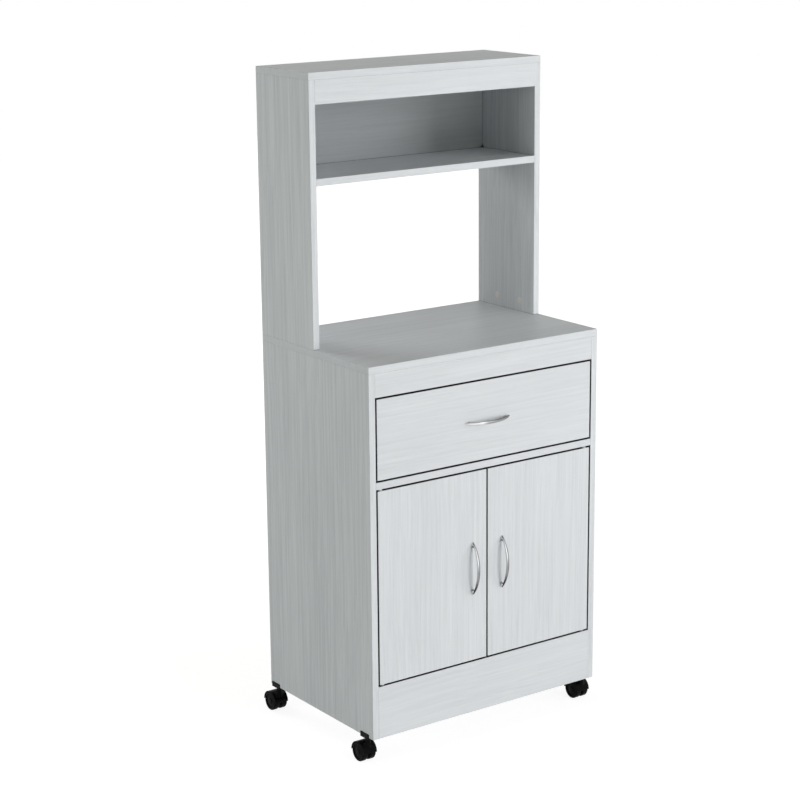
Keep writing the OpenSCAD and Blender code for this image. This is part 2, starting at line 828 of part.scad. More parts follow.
// A saddle over the side board's lower edge with a socket that goes up into the board
module caster_bracket(sx, front) {
    at = stem_at(sx, front);
    slot = board / 2 + slip;
    color(black) translate([at.x, at.y, 0]) difference() {
        union() {
            difference() {
                block([-slot - cheek_t, -saddle_len / 2, base_z - saddle_t],
                      [slot + cheek_t, saddle_len / 2, base_z + cheek_h]);
                block([-slot, -saddle_len, base_z], [slot, saddle_len, base_z + cheek_h + past]);
            }
            bar([0, 0, base_z - saddle_t / 2], up, socket_d, socket_len + saddle_t / 2);
        }
        bar([0, 0, base_z - saddle_t - past], up, stem_d + 2 * slip, past + saddle_t + stem_in + loose);
    }
}

// The half-round hood with its stem, and the web between the wheels that holds the axle
module caster_hood(sx, front) {
    at = stem_at(sx, front);
    neck_top = base_z - saddle_t - neck_gap;
    color(black) translate([at.x, at.y, 0]) difference() {
        union() {
            bar([0, 0, neck_top - past], up, stem_d, base_z + stem_in - neck_top + past);
            bar([0, 0, axle_z + web_t], up, neck_d, neck_top - axle_z - web_t);
            translate([0, trail, axle_z]) rotate([0, 90, 0]) {
                cylinder(r = boss_r, h = web_t, center = true);
                difference() {
                    cylinder(r = hood_r, h = 2 * hood_half_w, center = true, $fn = 64);
                    translate([0, -2 * hood_r, -2 * hood_r]) cube(4 * hood_r);
                }
            }
        }
        for (side = [-1, 1])
            bar([side * web_t / 2, trail, axle_z], [side, 0, 0], 2 * (wheel_r + hood_gap), hood_half_w);
        bar([-hood_half_w, trail, axle_z], [1, 0, 0], axle_d + 2 * slip, 2 * hood_half_w);
    }
}

module caster_axle(sx, front) {
    at = stem_at(sx, front);
    color(nickel)
        bar([at.x - hood_half_w + past, at.y + trail, axle_z], [1, 0, 0], axle_d, 2 * (hood_half_w - past));
}

// side is -1 for the wheel on the left and +1 for the one on the right
module caster_wheel(sx, front, side) {
    at = stem_at(sx, front);
    inside = web_t / 2 + wheel_gap;
    outside = inside + wheel_w;
    disc_r = wheel_r - wheel_rim;
    color(black) translate([at.x, at.y + trail, axle_z]) rotate([0, side * 90, 0])
        rotate_extrude($fn = 64)
            polygon([[axle_d / 2 + slip, inside],
                     [wheel_r - wheel_edge, inside], [wheel_r, inside + wheel_edge],
                     [wheel_r, outside - wheel_round], [wheel_r - wheel_edge, outside - wheel_edge],
                     [wheel_r - wheel_round, outside], [disc_r, outside],
                     [disc_r - wheel_edge, outside - wheel_dish], [hub_r, outside - wheel_edge],
                     [axle_d / 2 + slip, outside - wheel_edge]]);
}

base_left_side();
base_right_side();
base_deck();
base_floor();
base_divider();
base_top_rail();
base_plinth();
base_back();
inner_shelf();
shelf_pins();
hutch_left_side();
hutch_right_side();
hutch_top();
hutch_fascia();
hutch_shelf();
hutch_back();
cam_fittings();
wood_dowels();
fitting_screws();
cabinet_runners();
front_rollers();
drawer_front();
drawer_left_side();
drawer_right_side();
drawer_back();
drawer_bottom();
drawer_handle();
drawer_fixings();
drawer_runners();
rear_rollers();
left_door();
left_door_handle();
left_door_bushes();
left_door_fixings();
right_door();
right_door_handle();
right_door_bushes();
right_door_fixings();
door_pivot_pins();
door_catch();
caster_bracket(-1, true);  // front_left_caster_bracket
caster_hood(-1, true);  // front_left_caster_hood
caster_axle(-1, true);  // front_left_caster_axle
caster_wheel(-1, true, -1);  // front_left_caster_wheel_a
caster_wheel(-1, true, 1);  // front_left_caster_wheel_b
caster_bracket(1, true);  // front_right_caster_bracket
caster_hood(1, true);  // front_right_caster_hood
caster_axle(1, true);  // front_right_caster_axle
caster_wheel(1, true, -1);  // front_right_caster_wheel_a
caster_wheel(1, true, 1);  // front_right_caster_wheel_b
caster_bracket(-1, false);  // rear_left_caster_bracket
caster_hood(-1, false);  // rear_left_caster_hood
caster_axle(-1, false);  // rear_left_caster_axle
caster_wheel(-1, false, -1);  // rear_left_caster_wheel_a
caster_wheel(-1, false, 1);  // rear_left_caster_wheel_b
caster_bracket(1, false);  // rear_right_caster_bracket
caster_hood(1, false);  // rear_right_caster_hood
caster_axle(1, false);  // rear_right_caster_axle
caster_wheel(1, false, -1);  // rear_right_caster_wheel_a
caster_wheel(1, false, 1);  // rear_right_caster_wheel_b
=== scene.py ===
# %% [markdown]
# # A kitchen stand on casters, dressed for its picture
# The stand is a flat-pack cupboard with one drawer and two doors, an open hutch on top and four
# twin-wheel casters. Its boards, runners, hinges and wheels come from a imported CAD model, which
# this lesson never moves. Blender adds what a drawing of the boards can't show: softened edges,
# the pale woodgrain of the laminate, the bright bows of the handles and the black casters.
#
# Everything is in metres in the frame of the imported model: the origin is on the floor under the
# middle of the stand, +Z is up and the fronts face -Y.

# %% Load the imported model
import json
import math

import bmesh
import bpy
from mathutils import Matrix, Vector

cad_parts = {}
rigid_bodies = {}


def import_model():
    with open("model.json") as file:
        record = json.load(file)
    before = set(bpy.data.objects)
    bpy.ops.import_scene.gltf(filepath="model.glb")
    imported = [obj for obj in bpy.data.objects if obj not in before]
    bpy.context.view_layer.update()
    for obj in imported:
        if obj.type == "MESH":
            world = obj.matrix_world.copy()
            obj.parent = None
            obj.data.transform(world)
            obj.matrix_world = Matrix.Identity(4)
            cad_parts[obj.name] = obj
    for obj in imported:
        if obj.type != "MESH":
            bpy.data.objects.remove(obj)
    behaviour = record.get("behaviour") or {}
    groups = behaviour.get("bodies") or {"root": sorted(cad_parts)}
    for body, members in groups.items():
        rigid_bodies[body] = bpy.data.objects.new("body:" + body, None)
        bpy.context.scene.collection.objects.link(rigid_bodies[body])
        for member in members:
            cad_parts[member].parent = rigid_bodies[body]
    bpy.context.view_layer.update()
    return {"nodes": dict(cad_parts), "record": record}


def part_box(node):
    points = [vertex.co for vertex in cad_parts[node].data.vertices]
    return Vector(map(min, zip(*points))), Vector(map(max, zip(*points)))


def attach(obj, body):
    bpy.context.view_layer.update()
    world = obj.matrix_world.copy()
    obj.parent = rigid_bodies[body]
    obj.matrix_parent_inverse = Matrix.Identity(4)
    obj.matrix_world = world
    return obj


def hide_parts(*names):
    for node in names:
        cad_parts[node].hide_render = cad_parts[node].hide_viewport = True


for leftover in list(bpy.data.objects):
    bpy.data.objects.remove(leftover)
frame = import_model()
mm = 0.001

# %% [markdown]
# ## The camera
# A product picture is taken from far away with a long lens, so the upright edges stay nearly
# parallel. The camera could be placed by eye, but here it was worked out from the corners of the
# boards, whose sizes are known. That gives its place, where it points and how far it leans. Three
# axes then make its matrix: Blender's camera looks along its own -Z, with +Y up in the picture.

# %% Place the camera
camera_place = Vector((-2.61784, -3.57682, 1.83109))
camera_yaw = math.radians(35.3165)
camera_pitch = math.radians(14.1985)
camera_roll = math.radians(-0.5482)
camera_lens = 94.828

ahead = Vector((math.sin(camera_yaw) * math.cos(camera_pitch),
                math.cos(camera_yaw) * math.cos(camera_pitch), -math.sin(camera_pitch)))
level_right = Vector((math.cos(camera_yaw), -math.sin(camera_yaw), 0))
level_up = level_right.cross(ahead)
right = math.cos(camera_roll) * level_right + math.sin(camera_roll) * level_up
up = math.cos(camera_roll) * level_up - math.sin(camera_roll) * level_right

camera = bpy.data.objects.new("camera", bpy.data.cameras.new("camera"))
bpy.context.scene.collection.objects.link(camera)
camera.data.sensor_width = 36
camera.data.lens = camera_lens
camera.data.clip_end = 40
camera_axes = Matrix((right, up, -ahead)).transposed().to_4x4()
camera.matrix_world = Matrix.Translation(camera_place) @ camera_axes
bpy.context.scene.camera = camera
print("the camera stands", round(camera_place.length, 2), "m from the origin")

# %% [markdown]
# ## A short way to wire nodes
# Shaders and Geometry Nodes are both graphs. One small function adds a node, sets its options and
# fills its inputs: a plain value is typed in, and a socket of another node is linked.

# %% A helper for node trees
def add(tree, kind, inputs=None, **options):
    """A new node; inputs maps a socket's name or number to a value or to another node's socket."""
    node = tree.nodes.new(kind)
    for option, value in options.items():
        setattr(node, option, value)
    for socket, value in (inputs or {}).items():
        if isinstance(value, bpy.types.NodeSocket):
            tree.links.new(value, node.inputs[socket])
        else:
            node.inputs[socket].default_value = value
    return node


def calc(tree, operation, *values):
    """The result socket of one Math node; the same call works in a shader and in geometry."""
    return add(tree, "ShaderNodeMath", dict(enumerate(values)), operation=operation).outputs[0]


print("helpers:", add.__name__, "adds any node and", calc.__name__, "adds a Math node")

# %% [markdown]
# ## The studio
# The picture has a plain white ground. A white lit by lamps would need so much light that the pale
# boards would burn out, so only the view rays see the world and the floor as white, and so do
# reflections. All other rays get an even, quieter light. The floor still mixes in some real
# lighting, which keeps the soft shadow under the stand.

# %% World and floor
background_light = 0.17
background_tint = (1.0, 0.98, 0.88, 1)
floor_shade_share = 0.35
glow_from, glow_to = 0.9, 2.6
glow_under_stand, glow_around = 1.36, 1.62

world = bpy.data.worlds.new("studio")
bpy.context.scene.world = world
world.use_nodes = True
world.node_tree.nodes.clear()


def seen_rays(tree):
    """1 for camera, reflection and transmission rays, 0 for the rays that only carry light."""
    path = add(tree, "ShaderNodeLightPath")
    seen = calc(tree, "MAXIMUM", path.outputs["Is Camera Ray"], path.outputs["Is Glossy Ray"])
    return calc(tree, "MAXIMUM", seen, path.outputs["Is Transmission Ray"])


tree = world.node_tree
seen = seen_rays(tree)
strength = calc(tree, "MULTIPLY_ADD", seen, 1 - background_light, background_light)
tint = add(tree, "ShaderNodeMix", {"Factor": seen, "A": background_tint, "B": (1, 1, 1, 1)},
           data_type="RGBA").outputs["Result"]
sky = add(tree, "ShaderNodeBackground", {"Color": tint, "Strength": strength})
add(tree, "ShaderNodeOutputWorld", {"Surface": sky.outputs[0]})

floor_mesh = bpy.data.meshes.new("floor")
floor_half = 9
floor_mesh.from_pydata([(x * floor_half, y * floor_half, 0) for x, y in
                        ((-1, -1), (1, -1), (1, 1), (-1, 1))], [], [(0, 1, 2, 3)])
floor = bpy.data.objects.new("floor", floor_mesh)
bpy.context.scene.collection.objects.link(floor)

floor_paint = bpy.data.materials.new("white floor")
floor_paint.use_nodes = True
tree = floor_paint.node_tree
tree.nodes.clear()
matt = add(tree, "ShaderNodeBsdfDiffuse", {"Color": (0.8, 0.8, 0.8, 1)})
place = add(tree, "ShaderNodeTexCoord").outputs["Object"]
distance = add(tree, "ShaderNodeVectorMath", {0: place}, operation="LENGTH").outputs["Value"]
glow_level = add(tree, "ShaderNodeMapRange", {
    "Value": distance, "From Min": glow_from, "From Max": glow_to,
    "To Min": glow_under_stand, "To Max": glow_around}).outputs["Result"]
glow = add(tree, "ShaderNodeEmission", {"Color": (1, 1, 1, 1), "Strength": glow_level})
glow_share = calc(tree, "MULTIPLY", seen_rays(tree), 1 - floor_shade_share)
ground = add(tree, "ShaderNodeMixShader", {0: glow_share, 1: matt.outputs[0], 2: glow.outputs[0]})
add(tree, "ShaderNodeOutputMaterial", {"Surface": ground.outputs[0]})
floor.data.materials.append(floor_paint)
print("world light", background_light, "and a floor", 2 * floor_half, "m wide")

# %% [markdown]
# ## The lamps
# The fronts are the brightest faces, the left side and the tops are a good step darker, and the
# inside of the hutch lies in shade, lightest at its left end. One lamp can't do all of that, so
# four broad ones share the work. The front lamp is low, so that it hardly touches the shelf. The
# right lamp gives the slope of light on the hutch's back wall and the shadows beside the handles.
# The other two fill the left side and the rear. Seen at a flat angle, the tops would mirror the
# lamps as burnt-out patches, so all four are hidden from reflections.

# %% Add the lamps
aimed_at = Vector((0, 0, 0.75))


def soft_lamp(name, azimuth, elevation, distance, size, power):
    """A square lamp aimed at the stand's middle; azimuth 0 is in front and 90 on the right."""
    turn, lift = math.radians(azimuth), math.radians(elevation)
    way = Vector((math.sin(turn) * math.cos(lift), -math.cos(turn) * math.cos(lift),
                  math.sin(lift)))
    lamp = bpy.data.objects.new(name, bpy.data.lights.new(name, "AREA"))
    lamp.data.shape = "SQUARE"
    lamp.data.size = size
    lamp.data.energy = power
    lamp.location = aimed_at + way * distance
    lamp.rotation_mode = "QUATERNION"
    lamp.rotation_quaternion = way.to_track_quat("Z", "Y")
    bpy.context.scene.collection.objects.link(lamp)
    return lamp


front_lamp = soft_lamp("front lamp", 15, 8, 7.0, 3.3, 269)
right_lamp = soft_lamp("right lamp", 50, 12, 7.0, 3.3, 144)
left_lamp = soft_lamp("left lamp", -90, 8, 4.2, 1.0, 30)
left_lamp.data.color = (0.955, 1.0, 0.965)
rear_lamp = soft_lamp("rear lamp", 200, 25, 4.2, 1.6, 53)
for lamp in (front_lamp, right_lamp, left_lamp, rear_lamp):
    lamp.visible_glossy = False
bpy.context.scene.view_settings.view_transform = "Standard"
print("four soft lamps of", round(sum(lamp.data.energy for lamp in
      (front_lamp, right_lamp, left_lamp, rear_lamp))), "watts together")

# %% [markdown]
# ## White-washed woodgrain
# The boards are chipboard with a printed laminate: a pale grey-white wood with fine straight
# stripes, some darker pores and slow changes of tone. A picture of wood would be the quick way, but
# a procedural grain runs right through every board, so it never stretches or repeats. The trick is
# to squeeze the coordinates along the grain. Noise that is round in the squeezed space comes out as
# long stripes. The grain stands upright on the sides and the doors, and lies on all the rest, so
# the same recipe is used for three grain directions. It is a little bolder on the sides, as in the
# picture.

# %% Material helpers
materials = {}


def new_material(name, **shader_values):
    """A material with one Principled shader whose steady numbers are set on its own sockets."""
    material = bpy.data.materials.new(name)
    material.use_nodes = True
    material.node_tree.nodes.clear()
    shader = add(material.node_tree, "ShaderNodeBsdfPrincipled", shader_values)
    add(material.node_tree, "ShaderNodeOutputMaterial", {"Surface": shader.outputs[0]})
    materials[name] = material
    return material.node_tree, shader


def place_on_object(tree, scale):
    """Object coordinates, scaled per axis."""
    where = add(tree, "ShaderNodeTexCoord").outputs["Object"]
    return add(tree, "ShaderNodeMapping", {"Vector": where, "Scale": scale}).outputs[0]


def noise(tree, where, scale, detail=2.0, roughness=0.5, distortion=0.0):
    """A noise value from 0 to 1 at these coordinates."""
    return add(tree, "ShaderNodeTexNoise", {"Vector": where, "Scale": scale, "Detail": detail,
               "Roughness": roughness, "Distortion": distortion}).outputs["Fac"]


def remap(tree, value, from_low, from_high, to_low, to_high):
    """A value moved from one range to another and held inside it."""
    return add(tree, "ShaderNodeMapRange", {
        "Value": value, "From Min": from_low, "From Max": from_high,
        "To Min": to_low, "To Max": to_high}).outputs["Result"]


def bumped(tree, shader, height, strength, distance):
    """Gives the shader a bump from a height."""
    bump = add(tree, "ShaderNodeBump", {"Height": height, "Strength": strength,
                                        "Distance": distance})
    tree.links.new(bump.outputs[0], shader.inputs["Normal"])


def painted_over(tree, shader, share, colour):
    """Lays another colour over the present one; share is 0 where none of it shows."""
    present = shader.inputs["Base Color"].links[0].from_socket
    mix = add(tree, "ShaderNodeMix", {"Factor": share, "A": present, "B": (*colour, 1)},
              data_type="RGBA")
    tree.links.new(mix.outputs["Result"], shader.inputs["Base Color"])


def closed_in(tree, reach, samples, from_open, from_closed):
    """1 deep in a gap and 0 in the open, from the share of nearby directions that are blocked."""
    open_share = add(tree, "ShaderNodeAmbientOcclusion", {"Distance": reach},
                     samples=samples).outputs["AO"]
    return remap(tree, open_share, from_closed, from_open, 1.0, 0.0)


print("helpers:", ", ".join(helper.__name__ for helper in (
    new_material, place_on_object, noise, remap, bumped, painted_over, closed_in)))

# %% [markdown]
# The laminate mixes a white and a shade of its grain. Slow clouds, stripes and fine fibres add up to
# the share of the shade, and pores darken it a little more. Where a point is closed in, as in the
# gaps round the drawer and the doors, black is painted over the colour as shade, since so little
# light comes back out of them; tight inner corners get a little of it too.

# %% The laminate in its grain directions
laminate_white = (0.730, 0.757, 0.781)
laminate_shade = (0.605, 0.632, 0.655)
grain_squeeze = 0.022
gap_reach = 14 * mm
painted_gap_shade = (0.002, 0.002, 0.002)
middle_shade = 0.42
cloud_weight, stripe_weight, fibre_weight, pore_weight = 0.3, 0.95, 0.35, 0.2


def squeezed(axis, factor):
    """A scale that is 1 across the grain and small along it."""
    return [factor if i == axis else 1 for i in range(3)]


def laminate(name, axis, contrast):
    """Woodgrain along one axis; contrast 1 is the plain strength of the stripes."""
    tree, shader = new_material(name, **{"Roughness": 0.42, "IOR": 1.3, "Specular IOR Level": 0.2})
    slow = place_on_object(tree, squeezed(axis, 0.2))
    fine = place_on_object(tree, squeezed(axis, grain_squeeze))
    wander = noise(tree, place_on_object(tree, squeezed(axis, 0.45)), 5)
    shift = add(tree, "ShaderNodeVectorMath", {0: fine, 1: calc(tree, "MULTIPLY", wander, 0.02)},
                operation="ADD").outputs[0]
    clouds = noise(tree, slow, 9, detail=3)
    stripes = noise(tree, shift, 150, detail=4, roughness=0.62)
    fibres = noise(tree, shift, 620, detail=2, roughness=0.7)
    pores = remap(tree, noise(tree, place_on_object(tree, squeezed(axis, 0.06)), 520, detail=1),
                  0.62, 0.74, 0.0, 1.0)
    shade = calc(tree, "ADD", calc(tree, "MULTIPLY", clouds, cloud_weight),
                 calc(tree, "MULTIPLY", stripes, stripe_weight))
    shade = calc(tree, "ADD", shade, calc(tree, "MULTIPLY", fibres, fibre_weight))
    shade = remap(tree, shade, 0.55, 1.15, 0.0, 1.0)
    shade = calc(tree, "MULTIPLY_ADD", pores, pore_weight, shade)
    from_middle = calc(tree, "SUBTRACT", shade, middle_shade)
    shade = calc(tree, "MULTIPLY_ADD", from_middle, contrast, middle_shade)
    colour = add(tree, "ShaderNodeMix", {"Factor": shade, "A": (*laminate_white, 1),
                 "B": (*laminate_shade, 1)}, data_type="RGBA").outputs["Result"]
    tree.links.new(colour, shader.inputs["Base Color"])
    # Painted shade: black is laid over the colour deep in the gaps round the drawer and the doors,
    # and a little in tight inner corners.
    painted_over(tree, shader, closed_in(tree, gap_reach, 12, 0.5, 0.3), painted_gap_shade)
    tree.links.new(remap(tree, stripes, 0.3, 0.7, 0.36, 0.5), shader.inputs["Roughness"])
    bumped(tree, shader, calc(tree, "MULTIPLY_ADD", pores, -0.6, stripes), 0.25, 0.12 * mm)


laminate("laminate door grain", 2, 1.05)
laminate("laminate side grain", 2, 1.6)
laminate("laminate cross grain", 0, 0.8)
laminate("laminate deep grain", 1, 1.0)
print(len(materials), "laminates")

# %% [markdown]
# ## Metals, plastics and raw boards
# The other finishes are even, but none is perfectly flat in colour: a plated or moulded surface has a
# fine speckle and slow clouds, and both also change how glossy it is. One recipe with different
# numbers serves them all. On the nickel, a number that the handles carry along their length paints
# reflections into its colour: below 0 a dark reflection and above 0 a bright highlight, as a curved
# bar shows in a white studio. Where the handles close in against the front, painted shade darkens it
# too.

# %% Make the even finishes
def grainy(name, colour, dark, scale, roughness, bump, **shader_values):
    """A fine, even surface: the colour varies a little, and so do the gloss and the relief."""
    tree, shader = new_material(name, **shader_values)
    where = place_on_object(tree, (1, 1, 1))
    speck = noise(tree, where, scale, detail=3)
    cloud = noise(tree, where, scale / 12, detail=2)
    mix = calc(tree, "ADD", calc(tree, "MULTIPLY", speck, 0.6), calc(tree, "MULTIPLY", cloud, 0.4))
    paint = add(tree, "ShaderNodeMix", {"Factor": remap(tree, mix, 0.3, 0.7, 0.0, 1.0),
                "A": (*dark, 1), "B": (*colour, 1)}, data_type="RGBA")
    tree.links.new(paint.outputs["Result"], shader.inputs["Base Color"])
    gloss = remap(tree, mix, 0.3, 0.7, roughness * 1.2, roughness * 0.85)
    tree.links.new(gloss, shader.inputs["Roughness"])
    bumped(tree, shader, speck, bump, 0.1 * mm)
    return tree, shader


satin = 0.3
tree, shader = grainy("nickel", (0.33, 0.335, 0.34), (0.28, 0.285, 0.29), 900, satin, 0.04,
                      Metallic=1.0)
# Painted reflection and highlight: the number stored along each handle darkens the colour towards a
# dark reflection below 0 and brightens it to a highlight above 0.
shine = add(tree, "ShaderNodeAttribute", attribute_name="shine").outputs["Fac"]
painted_over(tree, shader, remap(tree, shine, 0.0, -1.0, 0.0, 1.0), (0.045, 0.045, 0.047))
painted_over(tree, shader, remap(tree, shine, 0.0, 1.0, 0.0, 1.0), (0.86, 0.87, 0.88))
# Painted shade: the metal turns dark grey where it is closed in, at the feet and tips against the
# front.
painted_over(tree, shader, closed_in(tree, 5 * mm, 6, 0.6, 0.2), (0.10, 0.10, 0.10))
grainy("zinc", (0.62, 0.63, 0.64), (0.50, 0.51, 0.53), 500, 0.32, 0.10, Metallic=1.0)
grainy("runner enamel", (0.74, 0.74, 0.72), (0.70, 0.70, 0.68), 700, 0.40, 0.12)
grainy("axle steel", (0.50, 0.50, 0.50), (0.40, 0.40, 0.41), 800, 0.28, 0.05, Metallic=1.0)
grainy("black plastic", (0.0032, 0.0032, 0.0036), (0.0020, 0.0020, 0.0024), 1400, 0.32, 0.10,
       **{"Specular IOR Level": 0.05})
grainy("wheel black", (0.0040, 0.0040, 0.0042), (0.0024, 0.0024, 0.0026), 1100, 0.42, 0.16,
       **{"Specular IOR Level": 0.045})
grainy("white plastic", (0.76, 0.76, 0.74), (0.72, 0.72, 0.70), 900, 0.36, 0.06)
print(len(materials), "materials so far")

# %% [markdown]
# Hardboard is brown fibre board with one painted face. The back of the cupboard and the drawer's
# bottom both show the white face inside. Object coordinates tell the two faces apart.

# %% Make the two hardboards and the beech
def hardboard(name, node, axis, white_way):
    """Brown fibre board that is painted white on the face that looks this way."""
    tree, shader = grainy(name, (0.42, 0.30, 0.19), (0.31, 0.21, 0.13), 420, 0.75, 0.45)
    low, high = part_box(node)
    where = add(tree, "ShaderNodeTexCoord").outputs["Object"]
    place = add(tree, "ShaderNodeSeparateXYZ", {0: where})
    from_middle = calc(tree, "SUBTRACT", place.outputs[axis], (low[axis] + high[axis]) / 2)
    on_face = calc(tree, "GREATER_THAN", calc(tree, "MULTIPLY", from_middle, white_way), 1.2 * mm)
    painted_over(tree, shader, on_face, (0.66, 0.69, 0.70))


hardboard("hardboard back", "base_back", 1, -1)
hardboard("hardboard drawer bottom", "drawer_bottom", 2, 1)
grainy("beech", (0.62, 0.43, 0.26), (0.52, 0.34, 0.19), 260, 0.60, 0.20)
print(len(materials), "materials")

# %% [markdown]
# ## Boards with softened edges
# A packed board is an exact box with its drilled holes. Real boards have a thin edge band whose
# corners are slightly rounded, and that is what draws the fine lines where two boards meet. The
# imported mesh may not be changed, so each board is copied, its loose triangles are merged back into
# faces, and only its long edges are rounded. The drilled holes stay crisp. The copy then stands for
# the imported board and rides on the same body.

# %% Helpers for pieces
weld = 0.001 * mm
sharp_angle = math.radians(30)
crease_angle = math.radians(38)
body_of_node = {node: body for body, nodes in frame["record"]["behaviour"]["bodies"].items()
                for node in nodes}


def as_piece(name, mesh, body, stands_for=()):
    """Puts a finished mesh into the scene as a piece of the stand."""
    piece = bpy.data.objects.new(name, mesh)
    bpy.context.scene.collection.objects.link(piece)
    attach(piece, body)
    if stands_for:
        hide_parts(*stands_for)
    return piece


def merged_copy(node):
    """The node's shape as whole faces instead of loose triangles."""
    shape = bmesh.new()
    shape.from_mesh(frame["nodes"][node].data)
    bmesh.ops.remove_doubles(shape, verts=shape.verts, dist=weld)
    bmesh.ops.dissolve_limit(shape, angle_limit=math.radians(1), verts=shape.verts,
                             edges=shape.edges)
    return shape


def softened(name, shape, radius, steps, shortest, material):
    """Rounds the sharp edges that are at least this long and gives back a plain mesh."""
    weight = shape.edges.layers.float.new("bevel_weight_edge")
    for edge in shape.edges:
        sharp = len(edge.link_faces) == 2 and edge.calc_face_angle(0) > sharp_angle
        edge[weight] = 1.0 if sharp and edge.calc_length() >= shortest else 0.0
    raw = bpy.data.meshes.new(name)
    shape.to_mesh(raw)
    shape.free()
    for face in raw.polygons:
        face.use_smooth = True
    raw.set_sharp_from_angle(angle=crease_angle)
    raw.materials.clear()
    raw.materials.append(material)
    holder = bpy.data.objects.new(name, raw)
    bpy.context.scene.collection.objects.link(holder)
    bevel = holder.modifiers.new("edge", "BEVEL")
    bevel.limit_method = "WEIGHT"
    bevel.width = radius
    bevel.segments = steps
    flat = holder.modifiers.new("flat faces", "WEIGHTED_NORMAL")
    flat.keep_sharp = True
    flat.weight = 100
    depsgraph = bpy.context.evaluated_depsgraph_get()
    mesh = bpy.data.meshes.new_from_object(holder.evaluated_get(depsgraph), depsgraph=depsgraph)
    bpy.data.objects.remove(holder)
    bpy.data.meshes.remove(raw)
    mesh.name = name
    return mesh


# %% [markdown]
# The sides and the doors have upright grain, the drawer's sides have it front to back, and it lies
# across on all the rest. The four groups get the four laminates made above.

# %% Soften the boards
edge_radius = 0.5 * mm
shortest_edge = 4 * mm
board_grain = {
    "laminate side grain": ["base_left_side", "base_right_side", "hutch_left_side",
                            "hutch_right_side"],
    "laminate door grain": ["left_door", "right_door"],
    "laminate cross grain": ["base_deck", "base_floor", "base_divider", "base_top_rail",
                             "base_plinth", "inner_shelf", "hutch_top", "hutch_fascia",
                             "hutch_shelf", "hutch_back", "drawer_front", "drawer_back"],
    "laminate deep grain": ["drawer_left_side", "drawer_right_side"],
}
for grain, nodes in board_grain.items():
    for node in nodes:
        mesh = softened(node + "_panel", merged_copy(node), edge_radius, 3, shortest_edge,
                        materials[grain])
        as_piece(node + "_panel", mesh, body_of_node[node], [node])
print("softened", sum(map(len, board_grain.values())), "boards")

# %% [markdown]
# The hutch's back wall lies in the shade of its own boards. The low front lamp would reach it, so
# that one board is taken off the front lamp's list with light linking.

# %% Keep the front lamp off the back wall
unlit = bpy.data.collections.new("kept from the front lamp")
front_lamp.light_linking.receiver_collection = unlit
unlit.objects.link(bpy.data.objects["hutch_back_panel"])
unlit.collection_objects[0].light_linking.link_state = "EXCLUDE"

# %% [markdown]
# ## Shapes that follow a rule
# A geometry tree is a recipe with named inputs, much like a function. Every tree here starts and
# ends in the same way, and is run once on a throw-away object, so that only a plain mesh is left.

# %% Helpers for geometry trees
def start_tree(name, sizes):
    """A geometry tree with named inputs; sizes maps a name to (socket type, default)."""
    tree = bpy.data.node_groups.new(name, "GeometryNodeTree")
    tree.interface.new_socket("Geometry", in_out="INPUT", socket_type="NodeSocketGeometry")
    for label, (kind, value) in sizes.items():
        socket = tree.interface.new_socket(label, in_out="INPUT", socket_type=kind)
        if value is not None:
            socket.default_value = value
    tree.interface.new_socket("Geometry", in_out="OUTPUT", socket_type="NodeSocketGeometry")
    return tree, add(tree, "NodeGroupInput").outputs


def end_tree(tree, geometry, material):
    """The last nodes of every tree: instances made real and the material set."""
    real = add(tree, "GeometryNodeRealizeInstances", {0: geometry}).outputs[0]
    dressed = add(tree, "GeometryNodeSetMaterial", {"Geometry": real, "Material": material})
    add(tree, "NodeGroupOutput", {0: dressed.outputs[0]})


def grown(name, tree, values, base=None):
    """Runs a geometry tree once and gives back the plain mesh it makes."""
    holder = bpy.data.objects.new(name, base or bpy.data.meshes.new(name + "_seed"))
    bpy.context.scene.collection.objects.link(holder)
    modifier = holder.modifiers.new(name, "NODES")
    modifier.node_group = tree
    for item in tree.interface.items_tree:
        if item.name in values and item.in_out == "INPUT":
            modifier[item.identifier] = values[item.name]
    depsgraph = bpy.context.evaluated_depsgraph_get()
    mesh = bpy.data.meshes.new_from_object(holder.evaluated_get(depsgraph), depsgraph=depsgraph)
    holder.modifiers.clear()
    bpy.data.objects.remove(holder)
    mesh.name = name
    return mesh


number_kind = "NodeSocketFloat"
print("helpers:", start_tree.__name__, end_tree.__name__, grown.__name__)

# %% [markdown]
# ## Bow handles
# Each handle is a slim metal bow: its outer face follows one arc, its inner face another, and it
# thins and narrows towards the tips. Two small feet carry it. The shape follows a rule, so Geometry
# Nodes make it from a flat grid: one way of the grid runs along the bow, and the other way runs
# round its oval section.

# %% Bend a grid into a bow
def arc_height(tree, along, radius, rise):
    """How far an arc stands out at a place along the bow, with its top at this rise."""
    square = calc(tree, "MULTIPLY", along, along)
    radius_square = calc(tree, "MULTIPLY", radius, radius)
    chord = calc(tree, "SQRT", calc(tree, "SUBTRACT", radius_square, square))
    return calc(tree, "ADD", calc(tree, "SUBTRACT", chord, radius), rise)


